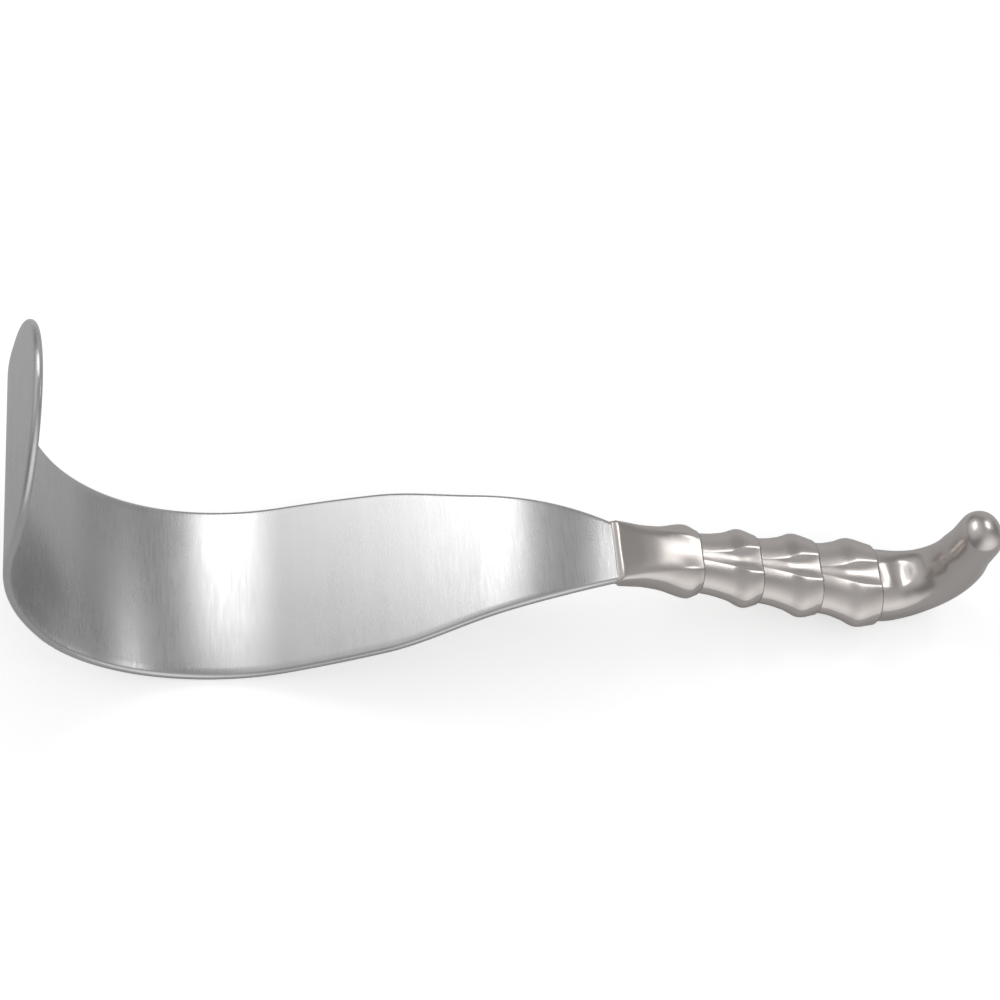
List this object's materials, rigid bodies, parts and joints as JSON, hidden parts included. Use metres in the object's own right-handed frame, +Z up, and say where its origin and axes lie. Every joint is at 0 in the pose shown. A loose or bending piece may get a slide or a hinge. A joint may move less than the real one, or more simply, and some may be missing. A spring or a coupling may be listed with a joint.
{
  "type": "handheld surgical retractor",
  "caption": "One-piece steel retractor: a wide swan-necked band turns up into a rounded blade at one end and runs into a grip with finger lobes and a curled end at the other.",
  "frame": {"origin": "centre of the box's bottom, on the floor that the piece lies on: it rests on the outside of its bend and on the underside of its hooked end", "axes": "+X from the blade to the hooked end of the grip, +Y across the band's width, +Z up, the way the blade and the hook point"},
  "size_m": [0.2398, 0.052, 0.0964],
  "materials": {
    "steel": "satin, brushed across the band, with a smoother grip"
  },
  "bodies": {
    "root": {"retractor": "steel"}
  },
  "joints": []
}
